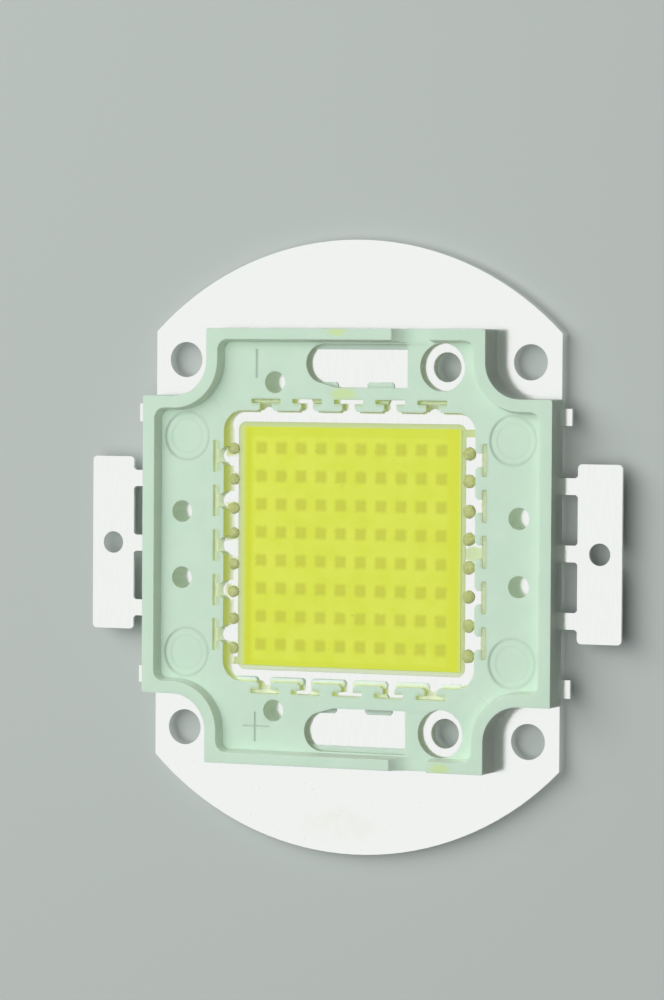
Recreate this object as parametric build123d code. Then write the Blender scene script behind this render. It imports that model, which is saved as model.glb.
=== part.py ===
from build123d import *
import os

os.makedirs("parts", exist_ok=True)

# Metal base plate: a disc cut straight on two sides, with a raised seat for the chips.
# Z = 0 is its underside, X runs from lead to lead, and the centre of the window is at 0, 0.
base_diameter = 56.0
base_width = 40.0
base_thickness = 1.5
screw_edge_distance = 3.0
screw_hole_diameter = 3.25
locating_hole_diameter = 2.7
locating_hole_x = 9.35
locating_hole_y = 16.5
seat_height = 0.6

# Moulded plastic frame. It hangs over the straight sides of the base a little.
frame_overhang = 0.1
frame_length = 39.85
frame_height = 2.8
frame_corner_break = 0.12
screw_head_clearance = 3.3
rim_side_width = 1.15
rim_end_width = 1.0
rim_cutout_width = 1.1
rim_draft = 12.0
pocket_corner_radius = 1.0
panel_height = 1.65

# Light window in the panel and the T shaped slots that open into it.
window_size = 24.8
window_corner_radius = 1.8
slots_per_side = 5
slot_pitch = 4.1
slot_neck_width = 1.2
slot_neck_length = 0.7
slot_bar_length = 2.9
slot_bar_width = 0.38
slot_mouth_break = 0.25

# Gaps in the rim and the openings in the panel at the two ends of the frame.
rim_gap_start = 4.62
rim_gap_end = 8.3
rim_gap_ramp = 1.75
long_slot_left = -4.2
long_slot_right = 5.75
long_slot_inner = 14.58
long_slot_outer = 18.55
long_slot_end_radius = 1.8
long_slot_corner_break = 0.2
insert_step = 0.05

# Thin skin of plastic that lies on the stampings inside the long slots, along the rim and in two ledges.
skin_thickness = 0.12
skin_edge = 18.03
ledge_edge = 15.08
first_ledge_end = -1.3
second_ledge_start = 1.58
second_ledge_end = 4.2
ledge_corner_break = 0.2
locating_well_x = 9.15
locating_well_diameter = 4.35
pin_hole_diameter = 2.0
side_pin_x = 16.6
side_pin_y = 3.05
end_pin_x = -7.3
end_pin_y = 15.0

# Lead frames: two stampings of one sheet, side by side in the plastic.
lead_thickness = 0.3
lead_standoff = 0.6
lead_span = 52.2
tab_length = 4.2
tab_width = 16.0
tab_hole_diameter = 2.0
tab_hole_inset = 2.1
tab_corner_radius = 0.4
neck_count = 3
neck_pitch = 6.0
neck_width = 1.5
neck_corner_break = 0.2
column_width = 7.0
column_half_length = 7.6
finger_width = 2.8
finger_end = 10.25
strip_outer = 18.75
strip_half_length = 12.3
tie_bar_y = 12.08
tie_bar_width = 1.65
tie_bar_reach = 21.3
pin_clearance = 0.3

# Gel pool over the chips, and the low plastic dam that holds it.
gel_length_x = 21.6
gel_length_y = 21.84
dam_width_x = 0.42
dam_width_y = 0.46
dam_corner_radius = 0.75
dam_proud = 0.02
gel_proud = 0.08

# Chips, their bond wires, and the drops that seal the outer bonds.
chip_columns = 10
chip_rows = 8
chip_pitch_x = 1.975
chip_pitch_y = 2.57
chip_size = 1.1
chip_thickness = 0.15
wire_diameter = 0.05
wire_pad_inset = 0.2
wire_foot_share = 1.4
wire_lean_share = 0.1
wire_over_dam = 0.01
seal_diameter = 1.2
seal_height = 0.35
seal_slope = 32.0
seal_facets = 8
seal_right_x = 11.55
seal_left_x = 11.7
seal_right_shifts = (-0.45, -0.3, -0.25, -0.2, -0.2, -0.3, -0.15, -0.25)
seal_left_shifts = (-0.45, -0.3, -0.4, -0.45, -0.15, -0.45, -0.35, -0.1)

# Levels and edges that follow from the sizes above.
base_top = base_thickness
seat_top = base_top + seat_height
lead_bottom = base_top + lead_standoff
lead_top = lead_bottom + lead_thickness
panel_top = base_top + panel_height
rim_top = base_top + frame_height
dam_top = lead_top + dam_proud
gel_top = dam_top + gel_proud
chip_top = seat_top + chip_thickness
ring_half_x = gel_length_x / 2 + dam_width_x
ring_half_y = gel_length_y / 2 + dam_width_y
window_half = window_size / 2
half_pitch = base_width / 2 - screw_edge_distance
frame_width = base_width + 2 * frame_overhang
beyond = base_diameter

# Slack for picking corners by their place, and the length by which shapes overlap before they are joined.
slack = 0.01
lap = 0.5


def block(x0, x1, y0, y1):
    """A flat rectangle between two x and two y edges."""
    return Pos((x0 + x1) / 2, (y0 + y1) / 2) * Rectangle(x1 - x0, y1 - y0)


def raised(sketch, z0, z1):
    """The sketch pulled straight up from one level to another."""
    return extrude(Pos(0, 0, z0) * sketch, amount=z1 - z0)


def mirrored(sketch):
    """The sketch together with its mirror image across the X axis."""
    return sketch + mirror(sketch, Plane.XZ)


def four_corners(sketch):
    """The sketch repeated in all four quarters."""
    pair = mirrored(sketch)
    return pair + mirror(pair, Plane.YZ)


def screw_cutout(radius):
    """Room round the corner screws, open towards the corner and rounded round each hole."""
    c = half_pitch
    room = Pos(c, c) * Circle(radius) + block(c - radius, beyond, c, beyond)
    return four_corners(room + block(c, beyond, c - radius, beyond))


def rounded(sketch, radius, keep):
    """The sketch with those of its corners rounded that the test keeps."""
    return fillet([v for v in sketch.vertices() if keep(v.X, v.Y)], radius)


def broken(sketch, length, keep):
    """The sketch with those of its corners cut off that the test keeps."""
    return chamfer([v for v in sketch.vertices() if keep(v.X, v.Y)], length)


def base_plate():
    """Disc with two straight sides, raised seat, screw holes and locating holes."""
    outline = Circle(base_diameter / 2) & Rectangle(base_width, base_diameter)
    plate = raised(outline, 0, base_top)
    plate += raised(gel_outline(), base_top, seat_top)
    holes = four_corners(Pos(half_pitch, half_pitch) * Circle(screw_hole_diameter / 2))
    holes += locating_holes()
    return plate - raised(holes, 0, base_top)


def gel_outline():
    """Outline that the chip seat, the inner face of the dam and the gel share."""
    return Rectangle(gel_length_x, gel_length_y)


def locating_holes():
    """The pair of holes that line up the base, the lead frames and the plastic."""
    return mirrored(Pos(locating_hole_x, locating_hole_y) * Circle(locating_hole_diameter / 2))


def pin_spots(shape):
    """The shape at each place where a pin held the stampings in the mould."""
    return four_corners(Pos(side_pin_x, side_pin_y) * shape) + mirrored(Pos(end_pin_x, end_pin_y) * shape)


def t_slot():
    """One T slot on the +X side, at the middle of that side."""
    neck_end = window_half + slot_neck_length
    neck = block(window_half - lap, neck_end, -slot_neck_width / 2, slot_neck_width / 2)
    return neck + block(neck_end, neck_end + slot_bar_width, -slot_bar_length / 2, slot_bar_length / 2)


def window_outline():
    """The light window with its rows of T slots, whose mouths are opened a little."""
    opening = RectangleRounded(window_size, window_size, window_corner_radius)
    first = -(slots_per_side - 1) / 2 * slot_pitch
    for side in range(4):
        for place in range(slots_per_side):
            opening += Rot(0, 0, 90 * side) * Pos(0, first + place * slot_pitch) * t_slot()
    limit = window_half - window_corner_radius - slack
    return broken(
        opening,
        slot_mouth_break,
        lambda x, y: abs(max(abs(x), abs(y)) - window_half) < slack and min(abs(x), abs(y)) < limit,
    )


def long_slot():
    """Slot at the +Y end: round at its left end and square at its right."""
    left = long_slot_left + long_slot_end_radius
    end = Pos(left, long_slot_outer - long_slot_end_radius) * Circle(long_slot_end_radius)
    straight = block(first_ledge_end, long_slot_right, long_slot_inner, long_slot_outer)
    return make_hull((end + straight).edges())


def slot_skin():
    """The skin in the slot at the +Y end: a band along the rim and two ledges along the window."""
    metal = long_slot() - block(long_slot_left, long_slot_right, skin_edge, beyond)
    metal -= block(long_slot_left, first_ledge_end, 0, ledge_edge)
    metal -= block(second_ledge_start, second_ledge_end, 0, ledge_edge)
    start = first_ledge_end - slack
    metal = broken(metal, ledge_corner_break, lambda x, y: x > start and abs(y - ledge_edge) < slack)
    metal = broken(metal, long_slot_corner_break, lambda x, y: x > long_slot_right - slack)
    return long_slot() - metal


def rim_gap():
    """Gap in the rim at the +Y end. Its left end is a hollow ramp and its right end is upright."""
    foot = rim_gap_start + rim_gap_ramp
    ramp = TangentArc((foot, panel_top), (rim_gap_start, rim_top), tangent=(-1, 0))
    rest = Polyline(
        (rim_gap_start, rim_top), (rim_gap_end, rim_top), (rim_gap_end, panel_top), (foot, panel_top)
    )
    depth = beyond - frame_length / 2 + 2 * rim_end_width
    return Pos(0, beyond, 0) * extrude(Plane.XZ * make_face(ramp + rest), amount=depth)


def dam_outline():
    """Outer edge of the dam, which the inner edges of the lead frames follow."""
    return RectangleRounded(2 * ring_half_x, 2 * ring_half_y, dam_corner_radius)


def dam():
    """Low plastic wall that keeps the gel off the lead frames."""
    return raised(dam_outline() - gel_outline(), base_top, dam_top)


def lead_cutouts():
    """Openings in the stampings: square ones round the mould pins, and the locating holes."""
    opening = pin_hole_diameter + 2 * pin_clearance
    return pin_spots(Rectangle(opening, opening)) + locating_holes()


def lead_ring_side():
    """Half a stamping: outer tab, necks, wide column, bond finger and tie bars, on the +X side."""
    tab_edge = lead_span / 2
    shoulder = tab_edge - tab_length
    column = ring_half_x + column_width
    chip_side = gel_length_x / 2
    first = -(neck_count - 1) / 2 * neck_pitch
    tie = tie_bar_y - tie_bar_width / 2, tie_bar_y + tie_bar_width / 2
    shape = block(shoulder, tab_edge, -tab_width / 2, tab_width / 2)
    for place in range(neck_count):
        y = first + place * neck_pitch
        shape += block(column - lap, shoulder + lap, y - neck_width / 2, y + neck_width / 2)
    end = tab_width / 2
    shape = rounded(shape, tab_corner_radius, lambda x, y: x > tab_edge - slack or abs(y) > end - slack)
    shape = broken(shape, neck_corner_break, lambda x, y: abs(x - shoulder) < slack and abs(y) < end - lap)
    shape -= Pos(tab_edge - tab_hole_inset, 0) * Circle(tab_hole_diameter / 2)
    shape += block(chip_side, column, -column_half_length, column_half_length)
    shape += block(chip_side, ring_half_x + finger_width, -tie[1], finger_end)
    return shape + block(ring_half_x, tie_bar_reach, -tie[1], -tie[0])


def lead_strip():
    """Half a stamping: the strip along the -Y side of the window, with its tie bar on the -X side."""
    tie = tie_bar_y - tie_bar_width / 2, tie_bar_y + tie_bar_width / 2
    shape = block(-strip_half_length, strip_half_length, -strip_outer, -gel_length_y / 2)
    return shape + block(-tie_bar_reach, 0, -tie[1], -max(tie[0], ring_half_y))


def lead_frame(turn):
    """One stamping. The positive one is unturned and the negative one is turned half round."""
    outline = lead_ring_side() + lead_strip() - dam_outline()
    return raised(Rot(0, 0, turn) * outline - lead_cutouts(), lead_bottom, lead_top)


def body_frame(leads):
    """The moulded frame: rim with drafted inner walls, panel openings and dam, round the stampings."""
    outline = Rectangle(frame_width, frame_length) - screw_cutout(screw_head_clearance)
    edge = frame_length / 2 - slack
    side = frame_width / 2 - slack
    outline = broken(outline, frame_corner_break, lambda x, y: abs(x) > side or abs(y) > edge)
    body = raised(outline, base_top, rim_top)

    pocket = Rectangle(frame_width - 2 * rim_side_width, frame_length - 2 * rim_end_width)
    pocket -= screw_cutout(screw_head_clearance + rim_cutout_width)
    pocket = rounded(
        pocket,
        pocket_corner_radius,
        lambda x, y: abs(x) > side - rim_side_width or abs(y) > edge - rim_end_width,
    )
    body -= extrude(Pos(0, 0, rim_top) * pocket, amount=panel_top - rim_top, taper=rim_draft)
    body -= mirrored(rim_gap())

    well = Pos(locating_well_x, locating_hole_y) * Circle(locating_well_diameter / 2)
    bridge = block(long_slot_right, locating_well_x, long_slot_inner, long_slot_outer)
    body -= raised(mirrored(bridge), panel_top - insert_step, panel_top)
    body -= raised(window_outline() + mirrored(long_slot() + well), lead_top, panel_top)
    body += raised(mirrored(slot_skin()), lead_top, lead_top + skin_thickness)
    body -= raised(gel_outline(), base_top, lead_top)
    body -= raised(locating_holes() + pin_spots(Circle(pin_hole_diameter / 2)), base_top, panel_top)
    return body + dam() - leads


def outer_wire(start, end):
    """A bond wire from a chip up, over the dam and down to a lead frame, in one upright plane."""
    run = Vector(end) - Vector(start)
    length = (run.X ** 2 + run.Y ** 2) ** 0.5
    lift = end[2] - start[2]
    foot = wire_foot_share * wire_diameter
    lean = wire_lean_share * length
    top = dam_top + wire_over_dam + wire_diameter - chip_top
    over = [(lean, top), (length - lean, top)]
    under = [(length - lean, top - wire_diameter), (lean, top - wire_diameter)]
    profile = Polyline((0, 0), *over, (length, lift), (length - foot, lift), *under, (foot, 0), close=True)
    plane = Plane(origin=start, x_dir=(run.X, run.Y, 0), z_dir=(run.Y, -run.X, 0))
    return extrude(plane * make_face(profile), amount=wire_diameter / 2, both=True)


def inner_wire(start, end):
    """A bond wire that lies straight across from chip to chip, flattened on its two pads."""
    half = wire_diameter / 2
    strip = block(start[0], end[0], start[1] - half, start[1] + half)
    return raised(strip, start[2], start[2] + wire_diameter)


def row_y(row):
    """Y of a row of chips, counted from the -Y side."""
    return (row - (chip_rows - 1) / 2) * chip_pitch_y


def chip_x(column):
    """X of a column of chips, counted from the -X side."""
    return (column - (chip_columns - 1) / 2) * chip_pitch_x


def chip_row(row):
    """The chips of one row, bonded on the seat."""
    square = Rectangle(chip_size, chip_size)
    return Sketch() + [Pos(chip_x(column), row_y(row)) * square for column in range(chip_columns)]


def seal_spots(row):
    """Places of the outer bonds of one row, on the left and on the right lead frame."""
    y = row_y(row)
    left = (-seal_left_x, y + seal_left_shifts[row % len(seal_left_shifts)], lead_top)
    right = (seal_right_x, y + seal_right_shifts[row % len(seal_right_shifts)], lead_top)
    return left, right


def wire_row(row):
    """The wires of one row: lead frame to first chip, chip to chip, and last chip to lead frame."""
    pad = chip_size / 2 - wire_pad_inset
    y = row_y(row)
    left, right = seal_spots(row)
    last = chip_columns - 1
    wires = [outer_wire((chip_x(0) - pad, y, chip_top), left)]
    for column in range(last):
        start = (chip_x(column) + pad, y, chip_top)
        wires.append(inner_wire(start, (chip_x(column + 1) - pad, y, chip_top)))
    wires.append(outer_wire((chip_x(last) + pad, y, chip_top), right))
    return wires


def seal(spot):
    """A drop of sealant on a lead frame, in flat facets that slope in to a small flat top."""
    foot = RegularPolygon(seal_diameter / 2, seal_facets)
    return Pos(*spot) * extrude(foot, amount=seal_height, taper=seal_slope)


def write(shape, name):
    """One file for each sub-part, under the name of its node."""
    solids = shape if isinstance(shape, list) else shape.solids()
    shape = solids[0] if len(solids) == 1 else Compound(children=list(solids))
    shape.label = name
    export_step(shape, os.path.join("parts", name + ".step"))


positive = lead_frame(0)
negative = lead_frame(180)
body = body_frame([positive, negative])
write(base_plate(), "base_plate")
write(body, "body_frame")
write(negative, "lead_frame_negative")
write(positive, "lead_frame_positive")

rows = range(chip_rows)
chips = [raised(chip_row(row), seat_top, chip_top) for row in rows]
wires = [wire_row(row) for row in rows]
for row in rows:
    write(chips[row], f"chip_row_{row + 1}")
    write(wires[row], f"bond_wires_row_{row + 1}")

all_wires = [one for group in wires for one in group]
gel = raised(gel_outline(), seat_top, gel_top)
write(gel - chips - all_wires, "phosphor_gel")

for side, name in enumerate(("left", "right")):
    drops = [seal(seal_spots(row)[side]) - dam() - all_wires for row in rows]
    write([solid for drop in drops for solid in drop.solids()], f"bond_seals_{name}")
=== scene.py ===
import math
import bmesh
import bpy
import mathutils
from mathutils import Matrix, Vector


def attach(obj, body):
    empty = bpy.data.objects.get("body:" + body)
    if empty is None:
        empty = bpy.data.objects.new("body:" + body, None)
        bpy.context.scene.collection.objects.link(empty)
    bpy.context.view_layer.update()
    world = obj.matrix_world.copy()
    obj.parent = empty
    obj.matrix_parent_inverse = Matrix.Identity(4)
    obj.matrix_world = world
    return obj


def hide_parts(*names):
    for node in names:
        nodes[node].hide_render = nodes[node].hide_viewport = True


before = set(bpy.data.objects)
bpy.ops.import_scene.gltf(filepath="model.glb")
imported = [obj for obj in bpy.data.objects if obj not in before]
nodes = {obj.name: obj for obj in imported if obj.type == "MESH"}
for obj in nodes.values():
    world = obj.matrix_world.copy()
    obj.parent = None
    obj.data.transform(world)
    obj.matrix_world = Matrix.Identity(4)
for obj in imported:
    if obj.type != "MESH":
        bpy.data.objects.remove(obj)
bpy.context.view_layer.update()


# Base plate: copper stamped to a disc with two straight sides and plated bright. The plating is fine grained,
# with rolling streaks. The lower end has a faint brown stain and grey specks, and dirt lies in a long slot.
mm = 0.001


class Field:
    """One value in a material. An operator on it adds the node that works it out."""

    def __init__(self, tree, socket):
        self.tree = tree
        self.socket = socket

    def node(self, kind, inputs, output=0, **settings):
        made = self.tree.nodes.new(kind)
        for name, setting in settings.items():
            setattr(made, name, setting)
        for key, value in inputs.items():
            if isinstance(value, Field):
                self.tree.links.new(value.socket, made.inputs[key])
            else:
                made.inputs[key].default_value = value
        return Field(self.tree, made.outputs[output])

    def maths(self, operation, *values):
        return self.node("ShaderNodeMath", dict(enumerate(values)), operation=operation)

    def vectors(self, operation, *values, output=0):
        return self.node("ShaderNodeVectorMath", dict(enumerate(values)), output=output, operation=operation)

    def __add__(self, other):
        return self.maths("ADD", self, other)

    __radd__ = __add__

    def __sub__(self, other):
        return self.maths("SUBTRACT", self, other)

    def __rsub__(self, other):
        return self.maths("SUBTRACT", other, self)

    def __mul__(self, other):
        return self.maths("MULTIPLY", self, other)

    __rmul__ = __mul__

    def __truediv__(self, other):
        return self.maths("DIVIDE", self, other)

    def __abs__(self):
        return self.maths("ABSOLUTE", self)

    def either(self, other):
        """The larger of two masks."""
        return self.maths("MAXIMUM", self, other)

    def rise(self, low, high):
        """0 below low, 1 above high and a smooth step between them."""
        return self.node("ShaderNodeMapRange", {"Value": self, "From Min": low, "From Max": high},
                         interpolation_type="SMOOTHSTEP")

    def fall(self, low, high):
        """1 below low, 0 above high and a smooth step between them."""
        return 1 - self.rise(low, high)

    def within(self, half, soft):
        """1 where the value is nearer to zero than half, with a soft edge."""
        return abs(self).fall(half - soft / 2, half + soft / 2)

    def between(self, low, high, soft):
        """1 between two values, with soft edges."""
        return (self - (low + high) / 2).within((high - low) / 2, soft)

    def from_nearest(self, pitch, first=0.0):
        """How far the value is from the nearest of evenly spaced places, one of them at first."""
        turns = (self - first) / pitch + 0.5
        return (turns.maths("FRACT", turns) - 0.5) * pitch

    def over(self, under, top):
        """The colour under, covered by the colour top where this mask is 1."""
        return self.node("ShaderNodeMix", {0: self, 6: under, 7: top}, output=2, data_type="RGBA",
                         clamp_factor=True)

    def noise(self, scale, detail=2.0, stretch=(1, 1, 1)):
        """Noise in millimetres, centred on zero; stretch squeezes it along an axis."""
        at = self.node("ShaderNodeMapping", {"Vector": self, "Scale": stretch})
        return self.node("ShaderNodeTexNoise", {"Vector": at, "Scale": scale, "Detail": detail}) - 0.5


def finish(name, **constants):
    """A new material, its surface shader and its object coordinates in millimetres."""
    material = bpy.data.materials.new(name)
    material.use_nodes = True
    tree = material.node_tree
    shader = tree.nodes["Principled BSDF"]
    for socket, value in constants.items():
        shader.inputs[socket.replace("_", " ")].default_value = value
    place = Field(tree, None).node("ShaderNodeTexCoord", {}, output="Object")
    place = place.node("ShaderNodeVectorMath", {0: place, "Scale": 1 / mm}, operation="SCALE")
    return material, shader, place


def axes(place, names="XYZ"):
    """The named parts of a place."""
    return [place.node("ShaderNodeSeparateXYZ", {0: place}, output=name) for name in names]


def feed(shader, **fields):
    """Joins worked-out values to the surface shader."""
    for socket, field in fields.items():
        field.tree.links.new(field.socket, shader.inputs[socket.replace("_", " ")])


def bump(height, depth):
    """A normal from a height, where depth is that of one unit of it in millimetres."""
    return height.node("ShaderNodeBump", {"Height": height, "Distance": depth * mm})


def srgb(red, green, blue):
    """A colour from its values in a picture, which are 11 to 255 here."""
    return tuple(((value / 255 + 0.055) / 1.055) ** 2.4 for value in (red, green, blue)) + (1,)


def wear(piece, material):
    """Gives a piece its finish."""
    piece.data.materials.clear()
    piece.data.materials.append(material)


stain_x, stain_y = (-4.6, 1.8), (-26.4, -24.0)
speckled_from = 19.0
dirt_x, dirt_y = (4.7, 5.75), 14.72

material, shader, place = finish("plated_copper", Metallic=1.0)
x, y = axes(place, "XY")
grain = place.noise(9.0, 4.0)
streaks = place.noise(2.2, 3.0, stretch=(0.25, 3.0, 1))
stain = (x + grain * 3).between(*stain_x, 3.0) * (y + grain * 2).between(*stain_y, 1.8)
blots = place.noise(0.6, 1.0).rise(-0.3, 0.4) * stain
specks = place.noise(2.6, 1.0).rise(0.24, 0.3) * (0 - y).rise(speckled_from, speckled_from + 2)
dirt = x.between(*dirt_x, 0.1) * (y - dirt_y + grain * 0.3).within(0.07, 0.08)
colour = (grain.rise(-0.3, 0.5) * 0.25).over(srgb(250, 252, 250), srgb(236, 240, 236))
colour = (blots * 0.2).over(colour, srgb(222, 220, 178))
colour = (dirt * 0.7).over(colour, srgb(96, 92, 70))
colour = (specks * 0.3).over(colour, srgb(190, 198, 192))
feed(shader, Base_Color=colour, Roughness=0.15 + grain * 0.08 + blots * 0.2,
     Normal=bump(grain * 0.4 + streaks * 0.3, 0.01))
wear(nodes["base_plate"], material)


# Moulded frame: one piece of pale mint, glass-filled plastic, satin with a fine moulded grain. It has the
# round marks of the mould's pins and a plus and a minus as thin grooves. Gel residue stains the panel round
# the slots. The walls carry painted light: sloped walls are painted paler and plumb ones darker. The inner
# walls of the window and slots are painted yellow for bounce light from the gel, and the pin and opening
# walls are painted lighter. A weak painted glow on the inner walls stands for light bouncing onto them.
window_half = 12.4
lead_level, panel_level = 2.4, 3.15
slot_pitch, bar_end = 4.1, 13.48
openings_x, openings_y = (-4.6, 11.8), (14.2, 19.0)
side_pin_x, side_pins_end = 16.6, 4.3
end_pin_x, end_pin_y = -7.3, 15.0
pin_reach = 1.2
well_x, well_y = 9.35, 16.5
dam_below, slots_below = (-11.2, -10.8), (-12.6, -12.4)
residue_at, residue_shift = 13.22, 0.14
mark_x, mark_y = 16.05, 9.95
outer_ring, inner_ring = 2.2, 1.55
sign_x, sign_across = -9.1, (-10.3, -7.7)
minus_y, plus_y, plus_middle = (15.4, 18.0), (-17.9, -15.2), -16.5
stains_end = 19.88
stain_spots = (((-0.7, 19.75), (1.0, 0.55)), ((-0.55, 14.0), (1.3, 0.65)), ((9.6, -19.6), (1.1, 0.6)))
black = (0, 0, 0, 1)


def facing(place):
    """How far the surface faces up, from 1 for up to -1 for down."""
    return axes(place.node("ShaderNodeNewGeometry", {}, output="Normal"), "Z")[0]


def from_spot(place, middle, reach):
    """The distance from the middle of an oval spot, seen from above, where 1 is its edge."""
    level = place.vectors("MULTIPLY", place, (1, 1, 0))
    spread = place.vectors("DIVIDE", place.vectors("SUBTRACT", level, (*middle, 0)), (*reach, 1))
    return place.vectors("LENGTH", spread, output="Value")


material, shader, place = finish("mint_moulding", Specular_IOR_Level=0.3, Subsurface_Weight=0.4,
                                 Subsurface_Scale=0.0007, Subsurface_Radius=(1.0, 1.0, 0.8),
                                 Emission_Strength=1.0)
x, y, z = axes(place)
upright = abs(facing(place)).fall(0.6, 0.9)
plumb = abs(facing(place)).fall(0.08, 0.2)
on_panel = (z - panel_level).within(0.02, 0.01)
above_leads = z.rise(lead_level + 0.03, lead_level + 0.05)
grain = place.noise(6.0, 4.0)
clouds = place.noise(0.35, 2.0)
ragged = place.noise(1.2, 3.0) * 1.2
colour = (clouds.rise(-0.25, 0.25) * 0.5).over(srgb(204, 229, 209), srgb(212, 234, 215))
# Painted light and shade: sloped walls are painted paler and plumb walls darker, for how the lamp falls on
# them.
colour = (upright * 0.8).over(colour, srgb(224, 238, 222))
colour = (plumb * 0.8).over(colour, srgb(188, 200, 188))

slots_end = bar_end + 0.12
walls = upright * above_leads * x.within(slots_end, 0.1) * y.within(slots_end, 0.1)
slot_walls = walls * abs(x).either(abs(y)).rise(window_half + 0.2, window_half + 0.3)
# Painted bounce light: the inner walls of the window and slots are painted yellow for light from the gel, and
# the slot walls paler and greyer.
colour = (walls * 0.85).over(colour, srgb(214, 226, 150))
colour = (slot_walls * 0.95).over(colour, srgb(206, 216, 186))
opening_walls = upright * z.fall(3.1, 3.2) * abs(y).between(*openings_y, 0.2) * x.between(*openings_x, 0.2)
side_pins = (abs(x) - side_pin_x).within(pin_reach, 0.1) * y.within(side_pins_end, 0.1)
end_pins = (x - end_pin_x).within(pin_reach, 0.1) * (abs(y) - end_pin_y).within(pin_reach, 0.1)
pin_walls = upright * side_pins.either(end_pins)
well_walls = upright * (x - well_x).within(3.3, 0.1) * (abs(y) - well_y).within(3.0, 0.1)
# Painted light: the walls of the openings and pin holes are painted lighter for light bouncing into them.
colour = (opening_walls.either(pin_walls) * 0.4).over(colour, srgb(206, 220, 182))
dam = (1 - above_leads) * x.within(window_half - 0.1, 0.1) * y.within(window_half - 0.1, 0.1)
colour = (dam * 0.95).over(colour, srgb(204, 218, 158))
colour = (dam * y.fall(*dam_below) * 0.8).over(colour, srgb(226, 236, 212))

mark = (mark_x, mark_y, panel_level)
from_mark = place.vectors("DISTANCE", place.vectors("ABSOLUTE", place), mark, output="Value")
# Painted shade: the left arc of each pin mark is darker, as the groove is shaded there.
left_arc_shade = ((mark_x - abs(x)) * x.maths("SIGN", x)).rise(0.4, 2.2)
rings = (from_mark - outer_ring).within(0.1, 0.26) + (from_mark - inner_ring).within(0.08, 0.24) * 0.35
rings = rings * on_panel
minus = (x - sign_x).within(0.1, 0.1) * y.between(*minus_y, 0.1)
plus = (x - sign_x).within(0.08, 0.1) * y.between(*plus_y, 0.2)
plus = plus.either((y - plus_middle).within(0.07, 0.1) * x.between(*sign_across, 0.2) * 0.6)
signs = minus.either(plus) * on_panel
# The rings' own colour, with painted shade on the left arc of each.
colour = (rings * (left_arc_shade * 0.5 + 0.15)).over(colour, srgb(132, 156, 142))
colour = (signs * 0.5).over(colour, srgb(140, 164, 146))

upper_or_lower = (abs(y) - abs(x)).rise(-0.1, 0.1)
along = x * upper_or_lower + y * (1 - upper_or_lower)
outward = abs(x).either(abs(y)) + ragged * 0.05
from_bar = outward - residue_at + x.fall(-12.0, -11.5) * residue_shift
residue = from_bar.within(0.34, 0.36) * along.from_nearest(slot_pitch).within(1.4, 0.4)
residue = residue * along.within(9.8, 0.1) * on_panel
colour = (residue * 0.5).over(colour, srgb(186, 202, 154))
stains = sum((from_spot(place, middle, reach) + ragged * 0.55).fall(0.45, 1.25)
             for middle, reach in stain_spots)
stains = stains * y.within(stains_end, 0.04)
colour = (stains * 0.6).over(colour, srgb(210, 230, 146))

# Painted glow: emission on the inner walls of the window, slots, pins, openings and wells, brighter on the
# lower slots' walls, stands for light bouncing onto them.
painted_wall_glow = (walls * 0.9).over(black, srgb(108, 120, 84))
painted_wall_glow = (slot_walls * 0.8).over(painted_wall_glow, srgb(92, 102, 84))
painted_wall_glow = (slot_walls * y.fall(*slots_below)).over(painted_wall_glow, srgb(116, 124, 110))
painted_wall_glow = (pin_walls * 0.9).over(painted_wall_glow, srgb(92, 104, 90))
painted_wall_glow = (opening_walls.either(well_walls) * 0.45).over(painted_wall_glow, srgb(84, 96, 76))
feed(shader, Base_Color=colour, Emission_Color=painted_wall_glow, Roughness=0.52 + grain * 0.1,
     Normal=bump(grain * 0.1 - rings * 0.8 - signs, 0.07))
wear(nodes["body_frame"], material)


# Lead frames: two stampings of thin plated copper, bright on their flat faces. Resin and gel have crept over
# them in a thin film along the window's edge and round the outer bonds, and in a puddle on the right.
row_pitch, column_pitch = 2.57, 1.975
window_radius = 1.8
straight_half = window_half - window_radius
film_x, film_half_length = -12.15, 11.4
smear_x, smear_y = -11.85, 0.9766
puddle_at, puddle_reach = (12.1, -0.25), (1.25, 0.75)

material, shader, place = finish("plated_lead", Metallic=1.0)
x, y = axes(place, "XY")
grain = place.noise(7.0, 3.0)
streaks = place.noise(1.6, 3.0, stretch=(3.0, 0.3, 1))
ragged = place.noise(1.6, 3.0) * 0.8

level = place.vectors("ABSOLUTE", place.vectors("MULTIPLY", place, (1, 1, 0)))
past_corner = place.vectors("SUBTRACT", level, (straight_half, straight_half, 0))
past_corner = place.vectors("MAXIMUM", past_corner, (0, 0, 0))
from_edge = place.vectors("LENGTH", past_corner, output="Value") - window_radius
at_side = abs(x).rise(12.0, 12.1)
side_mouth = y.from_nearest(slot_pitch)
near_mouth = at_side * side_mouth + (1 - at_side) * x.from_nearest(slot_pitch)
edge_film = from_edge.between(-0.16, 0.1, 0.06) * (1 - near_mouth.within(0.85, 0.1))
left_film = (x - film_x).within(0.2, 0.3) * y.within(film_half_length, 0.6)
left_film = left_film * (1 - side_mouth.within(0.95, 0.2))
smears = (y.from_nearest(row_pitch, first=smear_y) + ragged).within(0.46, 0.35)
smears = smears * (x - smear_x + ragged * 0.5).within(0.6, 0.3) * y.within(row_pitch * 4, 0.2)
film = edge_film.either(smears * 0.8).either(left_film)
puddle = (from_spot(place, puddle_at, puddle_reach) + ragged * 0.5).fall(0.75, 1.05)

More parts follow.
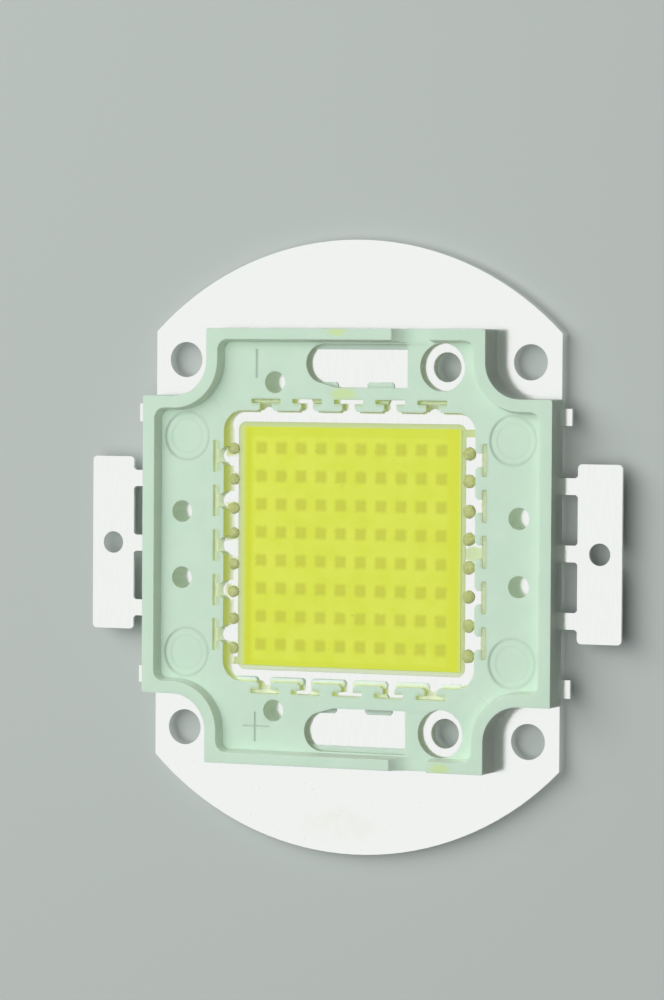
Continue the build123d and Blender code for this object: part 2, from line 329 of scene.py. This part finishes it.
colour = (streaks.rise(-0.3, 0.4) * 0.3).over(srgb(250, 252, 250), srgb(236, 240, 234))
colour = film.over(colour, srgb(198, 210, 122))
colour = (puddle * 0.9).over(colour, srgb(192, 210, 160))
covered = film.either(puddle * 0.85)
feed(shader, Base_Color=colour, Metallic=1 - covered, Roughness=0.13 + grain * 0.08 + covered * 0.25,
     Normal=bump(grain * 0.5 + streaks * 0.4, 0.008))
for name in ("lead_frame_negative", "lead_frame_positive"):
    wear(nodes[name], material)


# Slot fill: gel that seeped into the T slots and set there. All slots on the left and the outer ones of the
# upper and lower rows are full to the mouth. In those rows the next ones are half full and the middle one is
# empty. On the right only the cross bars are full.
slots = 5
neck_half, neck_start = 0.6, 13.1
bar_half = 1.45
fill_heights = {"full": 0.32, "bar": 0.7, "right": 0.2, "left": 0.2}
fill_side, fill_gap, mouth_share = 0.01, 0.05, 0.12
front_start, front_hollow = 12.46, 0.28
bar_front, bar_front_hollow = 12.95, 0.07
half_edge = ((0.2, bar_end), (0.28, 13.25), (0.42, 12.95), (neck_half, 12.65))


def front_of(u):
    """Where the hollow front of a full slot's fill stands, at a distance u from the slot's middle."""
    return front_start + front_hollow * math.cos(math.pi / 2 * min(1, abs(u) / neck_half))


def fill_outline(kind):
    """Corners of one fill, seen from above, with the slot's mouth towards lower v."""
    right_wing = [(neck_half, neck_start), (bar_half, neck_start), (bar_half, bar_end)]
    left_wing = [(-u, v) for u, v in reversed(right_wing)]
    if kind == "full":
        across = [neck_half * share for share in (-1, -0.7, -0.35, 0, 0.35, 0.7, 1)]
        return [*left_wing, *((u, front_of(u)) for u in across), *right_wing]
    if kind == "bar":
        front = [(-neck_half, bar_front), (0, bar_front - bar_front_hollow), (neck_half, bar_front)]
        return [*left_wing, *front, *right_wing]
    half = [*half_edge, *right_wing]
    return half if kind == "right" else [(-u, v) for u, v in reversed(half)]


def set_down(name, shape):
    """Makes a finished shape a piece of the scene."""
    mesh = bpy.data.meshes.new(name)
    shape.to_mesh(mesh)
    shape.free()
    piece = bpy.data.objects.new(name, mesh)
    bpy.context.scene.collection.objects.link(piece)
    return piece


mouths = [(number - (slots - 1) / 2) * slot_pitch for number in range(slots)]
shape = bmesh.new()
for side, kinds in enumerate((("full", "right", None, "left", "full"), ("bar",) * slots,
                              ("full", "right", None, "left", "full"), ("full",) * slots)):
    turn = Matrix.Rotation(-math.pi / 2 * side, 4, "Z")
    for mouth, kind in zip(mouths, kinds):
        if kind is None:
            continue
        height = fill_heights[kind] - fill_side
        corners = [shape.verts.new((turn @ Vector((mouth + u, v, lead_level))) * mm)
                   for u, v in fill_outline(kind)]
        raised = bmesh.ops.extrude_face_region(shape, geom=[shape.faces.new(corners)])["geom"]
        top = [item for item in raised if isinstance(item, bmesh.types.BMFace)]
        bmesh.ops.translate(shape, vec=(0, 0, fill_side * mm), verts=top[0].verts)
        bmesh.ops.inset_region(shape, faces=top, thickness=fill_gap * mm, depth=height * mm)
        for corner in top[0].verts:
            u, v, _ = turn.inverted() @ corner.co / mm
            front = front_of(u - mouth) + fill_gap if kind == "full" else window_half
            share = min(1, max(mouth_share, (v - front) / (neck_start - front)))
            corner.co.z = (lead_level + fill_side + height * share) * mm
bmesh.ops.recalc_face_normals(shape, faces=shape.faces)
piece = set_down("slot_fill", shape)

material, shader, place = finish("seeped_gel", Roughness=0.4, Specular_IOR_Level=0.3, Emission_Strength=1.0)
x, y = axes(place, "XY")
clouds = place.noise(1.4, 3.0)
on_left = x.fall(-12.5, -12.0)
in_bar = abs(x).either(abs(y)).rise(neck_start - 0.35, neck_start)
upper_or_lower = (abs(y) - abs(x)).rise(-0.1, 0.1)
along = y + (x - y) * upper_or_lower
bar_end_shade = abs(along.from_nearest(slot_pitch)).rise(0.8, 1.3) * in_bar
colour = clouds.rise(-0.25, 0.25).over(srgb(194, 208, 164), srgb(206, 220, 182))
colour = (y.fall(-12.5, -12.0) * 0.8).over(colour, srgb(226, 234, 204))
colour = (on_left * (1 - in_bar) * 0.8).over(colour, srgb(220, 240, 214))
# Painted shade: the ends of each bar are darker, where the slot's walls shade them.
colour = (bar_end_shade * 0.35).over(colour, srgb(166, 182, 138))
# Painted glow: emission on the bars of the left slots stands for light bouncing into them.
painted_glow = (on_left * in_bar).over(black, srgb(116, 120, 98))
feed(shader, Base_Color=colour, Emission_Color=painted_glow, Normal=bump(clouds, 0.05))
wear(piece, material)
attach(piece, "root")


# Creep fillets: gel that climbed the walls of the window and of its slots in a thin, hollow fillet, widest
# along the left edge. It is olive where it is thick and clear at its foot, and it stops at each slot's mouth.
fillet_back, fillet_steps, fillet_hollow = 0.04, 6, 1.8
right_wide, top_wide, left_wide, slot_wide = 0.25, 0.14, 0.8, 0.3
right_high, top_high, left_high, slot_high = 0.4, 0.3, 0.72, 0.45
mouth_gap, slot_start = 0.3, 0.25
corner_steps, corner_shrink = 6, 0.76


def fillet_face(shape, start, out, wide, height):
    """The fillet's section at a point of the wall, where out points away from the wall."""
    shares = [step / fillet_steps for step in range(fillet_steps + 1)]
    section = [(-fillet_back, 0), (-fillet_back, height)]
    section += [(wide * share, height * (1 - share) ** fillet_hollow) for share in shares]
    return shape.faces.new([shape.verts.new((start + out * u + Vector((0, 0, lead_level + v))) * mm)
                            for u, v in section])


def draw_on(shape, face, matrix):
    """Extrudes a face and moves its far end by the matrix, in millimetres. Gives the far end."""
    raised = bmesh.ops.extrude_face_region(shape, geom=[face])["geom"]
    face = next(item for item in raised if isinstance(item, bmesh.types.BMFace))
    metres = Matrix.Scale(mm, 4) @ matrix @ Matrix.Scale(1 / mm, 4)
    bmesh.ops.transform(shape, matrix=metres, verts=face.verts)
    return face


shape = bmesh.new()
starts = [-straight_half, *(mouth + neck_half + mouth_gap for mouth in mouths)]
ends = [*(mouth - neck_half - mouth_gap for mouth in mouths), straight_half]
window_sides = ((0, right_wide, right_high), (90, top_wide, top_high), (180, left_wide, left_high))
for angle, wide, height in window_sides:
    turn = Matrix.Rotation(math.radians(angle), 4, "Z")
    inward = turn @ Vector((-1, 0, 0))
    for low, high in zip(starts, ends):
        face = fillet_face(shape, turn @ Vector((window_half, low, 0)), inward, wide, height)
        draw_on(shape, face, Matrix.Translation(turn @ Vector((0, high - low, 0))))
for end in (1, -1):
    start = Vector((-window_half, straight_half * end, 0))
    face = fillet_face(shape, start, Vector((1, 0, 0)), left_wide, left_high)
    hub = Matrix.Translation((-straight_half, straight_half * end, 0))
    swing = Matrix.Rotation(-end * math.pi / 2 / corner_steps, 4, "Z")
    wall_foot = Vector((-window_radius, 0, lead_level))
    for step in range(corner_steps):
        foot = hub @ Matrix.Translation(wall_foot)
        shrink = foot @ Matrix.Scale(corner_shrink, 4) @ foot.inverted()
        last = face
        face = draw_on(shape, last, hub @ swing @ hub.inverted() @ shrink)
        wall_foot = swing @ wall_foot
        if step > 0:
            bmesh.ops.delete(shape, geom=[last], context="FACES_ONLY")
for end in (1, -1):
    for mouth in mouths:
        for wall, near, far in ((mouth - neck_half, window_half + slot_start, neck_start),
                                (mouth - bar_half, neck_start, bar_end)):
            start = Vector((wall, near * end, 0))
            face = fillet_face(shape, start, Vector((1, 0, 0)), slot_wide, slot_high)
            draw_on(shape, face, Matrix.Translation((0, (far - near) * end, 0)))
bmesh.ops.recalc_face_normals(shape, faces=shape.faces)
piece = set_down("creep_fillets", shape)

material, shader, place = finish("crept_gel", Specular_IOR_Level=0.3)
z = axes(place, "Z")[0]
clouds = place.noise(1.6, 3.0)
thick = (z + clouds * 0.2).rise(lead_level, lead_level + 0.35)
colour = thick.over(srgb(242, 250, 222), srgb(228, 242, 128))
feed(shader, Base_Color=colour, Roughness=0.4 + clouds * 0.2, Normal=bump(clouds, 0.04))
wear(piece, material)
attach(piece, "root")


# Edge lips: clear resin that stands against the lower edge of the window in low, round-ended lips, one in
# front of each head between two slots. Their sides carry a thin line of painted shade with a painted glow,
# which fades towards the right.
lip_reach, lip_into, lip_half = 0.42, 0.35, 1.72
lips = ((-10.2, 0.3, 1.1), (-6.15, 0.3, lip_half), (-2.05, 0.28, lip_half), (2.05, 0.24, lip_half),
        (6.15, 0.14, lip_half), (10.0, 0.12, 1.0))
lip_corner, lip_brim = 0.36, 0.13
fading_x = (-3.0, 4.0)

shape = bmesh.new()
for middle, height, half in lips:
    block = bmesh.ops.create_cube(shape, size=1)["verts"]
    bmesh.ops.scale(shape, vec=Vector((2 * half, lip_reach + lip_into, 2 * height)) * mm, verts=block)
    at = Vector((middle, (lip_reach - lip_into) / 2 - window_half, lead_level)) * mm
    bmesh.ops.translate(shape, vec=at, verts=block)
corners = [edge for edge in shape.edges if abs(edge.verts[0].co.z - edge.verts[1].co.z) > 0.1 * mm]
bmesh.ops.bevel(shape, geom=corners, offset=lip_corner * mm, segments=6, profile=0.5, affect="EDGES",
                material=-1)
brims = [edge for edge in shape.edges if min(corner.co.z for corner in edge.verts) > (lead_level + 0.1) * mm]
bmesh.ops.bevel(shape, geom=brims, offset=lip_brim * mm, segments=3, profile=0.5, affect="EDGES", material=-1)
piece = set_down("edge_lips", shape)
piece.data.shade_smooth()

material, shader, place = finish("clear_resin", Roughness=0.3, Specular_IOR_Level=0.3, Emission_Strength=1.0)
x, y = axes(place, "XY")
clouds = place.noise(1.2, 2.0)
painted_side_line = facing(place).fall(0.8, 0.98)
faded = 1 - x.rise(*fading_x) * 0.8
colour = clouds.rise(-0.25, 0.25).over(srgb(212, 228, 220), srgb(224, 238, 230))
colour = ((0 - y - window_half).rise(-0.16, -0.08) * 0.7).over(colour, srgb(214, 226, 160))
# Painted shade on the tilted sides of the lips, with a painted glow on them below.
colour = (painted_side_line * faded * 0.8).over(colour, srgb(164, 188, 172))
colour = ((1 - faded) * 0.5).over(colour, srgb(236, 242, 226))
painted_glow = painted_side_line.over(black, srgb(92, 106, 94))
feed(shader, Base_Color=colour, Emission_Color=painted_glow, Normal=bump(clouds, 0.03))
wear(piece, material)
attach(piece, "root")


# Phosphor gel: a pool of yellow silicone over the chips, glossy, with the chips showing as darker squares. It
# is deeper in colour along its sides. Its left and right edge, where it meets the dam, is painted paler as
# painted light, and its side faces carry a painted glow.
chip_columns, chip_rows = 10, 8
gel_half_x, gel_half_y = 10.8, 10.92
chip_half, chip_blur = 0.53, 0.46

material, shader, place = finish("phosphor_gel", Coat_Weight=0.3, Coat_Roughness=0.1, Emission_Strength=1.0)
x, y = axes(place, "XY")
from_left, from_right = x + gel_half_x, gel_half_x - x
from_foot, from_head = y + gel_half_y, gel_half_y - y
clouds = place.noise(0.5, 3.0)
ripple = place.noise(2.4, 2.0)
motes = place.noise(1.9, 1.0).rise(0.27, 0.31)
near_column = (x + ripple * 0.25).from_nearest(column_pitch, first=column_pitch / 2)
near_row = (y + ripple * 0.25).from_nearest(row_pitch, first=row_pitch / 2)
chip_marks = near_column.within(chip_half, chip_blur) * near_row.within(chip_half, chip_blur)
chip_marks = chip_marks * x.within(column_pitch * chip_columns / 2, 0.1)
chip_marks = chip_marks * y.within(row_pitch * chip_rows / 2, 0.1)
colour = clouds.rise(-0.2, 0.2).over(srgb(221, 231, 70), srgb(215, 227, 56))
ends = from_head.fall(0.72, 1.02).either(from_foot.fall(0.22, 0.72))
colour = (ends * 0.6).over(colour, srgb(209, 220, 40))
colour = (from_right.fall(0.9, 1.6) * 0.7).over(colour, srgb(213, 223, 36))
colour = (from_left.fall(0.6, 1.3) * 0.9).over(colour, srgb(206, 216, 24))
colour = (chip_marks * 0.85).over(colour, srgb(197, 202, 46))
# Painted light: the left and right edge is painted paler where it lies in shade.
painted_edge_light = from_left.fall(0.05, 0.5).either(from_right.fall(0.05, 0.3))
colour = (painted_edge_light * 0.8).over(colour, srgb(204, 220, 140))
colour = (motes * 0.3).over(colour, srgb(150, 150, 60))
# Painted glow: emission on the gel's side faces lightens them.
painted_glow = abs(facing(place)).fall(0.4, 0.8).over(black, srgb(130, 138, 60))
feed(shader, Base_Color=colour, Emission_Color=painted_glow, Roughness=0.3 + clouds * 0.1,
     Normal=bump(clouds + ripple * 0.2, 0.03))
wear(nodes["phosphor_gel"], material)


# Bond drops: rough, olive drops of sealant over the outer bonds, in place of the faceted solids. Each is half
# a flattened ball with a dented skin, and its flat underside lies on the lead frame.
drop_sizes = {"left": (0.6, 0.54, 0.24), "right": (0.62, 0.62, 0.3)}
drop_shift = 0.28
dent_depth, dent_scale, dent_step = 0.09, 3, 3

material, shader, place = finish("seal_drop", Coat_Weight=0.3, Coat_Roughness=0.2)
clouds = place.noise(2.0, 2.0)
pits = place.noise(6.0, 3.0)
colour = clouds.rise(-0.2, 0.2).over(srgb(178, 186, 116), srgb(192, 200, 138))
colour = (pits.rise(0.0, 0.25) * 0.5).over(colour, srgb(158, 168, 100))
feed(shader, Base_Color=colour, Roughness=0.45 + pits * 0.3, Normal=bump(pits + clouds, 0.08))
for side, size in drop_sizes.items():
    solid = nodes[f"bond_seals_{side}"]
    shape = bmesh.new()
    for row in range(chip_rows):
        row_at = ((row - (chip_rows - 1) / 2) * row_pitch - drop_shift) * mm
        near = [corner.co for corner in solid.data.vertices if abs(corner.co.y - row_at) < row_pitch / 2 * mm]
        middle = [(min(co[axis] for co in near) + max(co[axis] for co in near)) / 2 for axis in range(2)]
        dome = bmesh.ops.create_uvsphere(shape, u_segments=24, v_segments=12, radius=1)["verts"]
        bmesh.ops.scale(shape, vec=Vector(size) * mm, verts=dome)
        for corner in dome:
            at = corner.co * dent_scale / mm + Vector((row * dent_step, 0, 0))
            corner.co *= 1 + dent_depth * mathutils.noise.noise(at)
        bmesh.ops.translate(shape, vec=(*middle, lead_level * mm), verts=dome)
    everything = shape.verts[:] + shape.edges[:] + shape.faces[:]
    cut = bmesh.ops.bisect_plane(shape, geom=everything, dist=0.0001 * mm, plane_co=(0, 0, lead_level * mm),
                                 plane_no=(0, 0, 1), clear_inner=True)["geom_cut"]
    bmesh.ops.edgeloop_fill(shape, edges=[item for item in cut if isinstance(item, bmesh.types.BMEdge)])
    bmesh.ops.recalc_face_normals(shape, faces=shape.faces)
    piece = set_down(f"bond_drops_{side}", shape)
    piece.data.shade_smooth()
    wear(piece, material)
    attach(piece, "root")
    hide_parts(f"bond_seals_{side}")


# Chips: squares of polished crystal with a thin metal film, bonded on the seat under the gel.
material, shader, place = finish("chip_crystal", Roughness=0.2)
grain = place.noise(4.0, 2.0)
feed(shader, Base_Color=grain.rise(-0.3, 0.3).over(srgb(120, 140, 150), srgb(170, 185, 190)))
for row in range(chip_rows):
    wear(nodes[f"chip_row_{row + 1}"], material)


# Bond wires: drawn gold, thinner than a hair, in the gel and under the drops.
material, shader, place = finish("gold_wire", Metallic=1.0, Roughness=0.3)
grain = place.noise(8.0, 2.0)
feed(shader, Base_Color=grain.rise(-0.3, 0.3).over(srgb(226, 214, 170), srgb(240, 230, 196)))
for row in range(chip_rows):
    wear(nodes[f"bond_wires_row_{row + 1}"], material)


# Floor: a plain pale matt surface that the part lies on.
floor_half = 1.5
shape = bmesh.new()
bmesh.ops.create_grid(shape, x_segments=1, y_segments=1, size=floor_half)
piece = set_down("floor", shape)
material, shader, place = finish("pale_floor", Roughness=0.8, Base_Color=srgb(186, 194, 190))
wear(piece, material)


# Studio: a large soft lamp up on the left, and a dim sky that shines bright in metal. It shines less in metal
# that lights a dull surface, so that the metal throws no bright spots.
lamp_distance = 0.5
sky_strength, sky_in_metal, dull_step = 0.07, 0.85, 0.4
lamp = bpy.data.lights.new("softbox", "AREA")
lamp.shape = "RECTANGLE"
lamp.size = 0.4
lamp.size_y = 1.0
lamp.energy = 3.8
key = bpy.data.objects.new("softbox", lamp)
toward = Vector((-0.3, 0.22, 0.92)).normalized()
key.location = toward * lamp_distance
key.rotation_euler = toward.to_track_quat("Z", "Y").to_euler()
key.visible_glossy = False
bpy.context.scene.collection.objects.link(key)

world = bpy.data.worlds.new("studio")
bpy.context.scene.world = world
world.use_nodes = True
tree = world.node_tree
sky = tree.nodes["Background"]
sky.inputs["Color"].default_value = (1.0, 1.0, 1.0, 1)
ray = Field(tree, None)
in_metal = ray.node("ShaderNodeLightPath", {}, output="Is Glossy Ray")
dull_steps = ray.maths("MINIMUM", ray.node("ShaderNodeLightPath", {}, output="Diffuse Depth"), 1)
strength = in_metal * (sky_in_metal - dull_steps * dull_step) + sky_strength
tree.links.new(strength.socket, sky.inputs["Strength"])


# Camera: above the part and a little to its right, with a long lens.
lens = bpy.data.cameras.new("camera")
lens.lens = 158.97
eye = bpy.data.objects.new("camera", lens)
eye.location = (0.157594, 0.018695, 0.370658)
eye.rotation_euler = [math.radians(angle) for angle in (-1.8924, 23.4282, 0.3914)]
bpy.context.scene.collection.objects.link(eye)
bpy.context.scene.camera = eye
bpy.context.scene.view_settings.view_transform = "Standard"
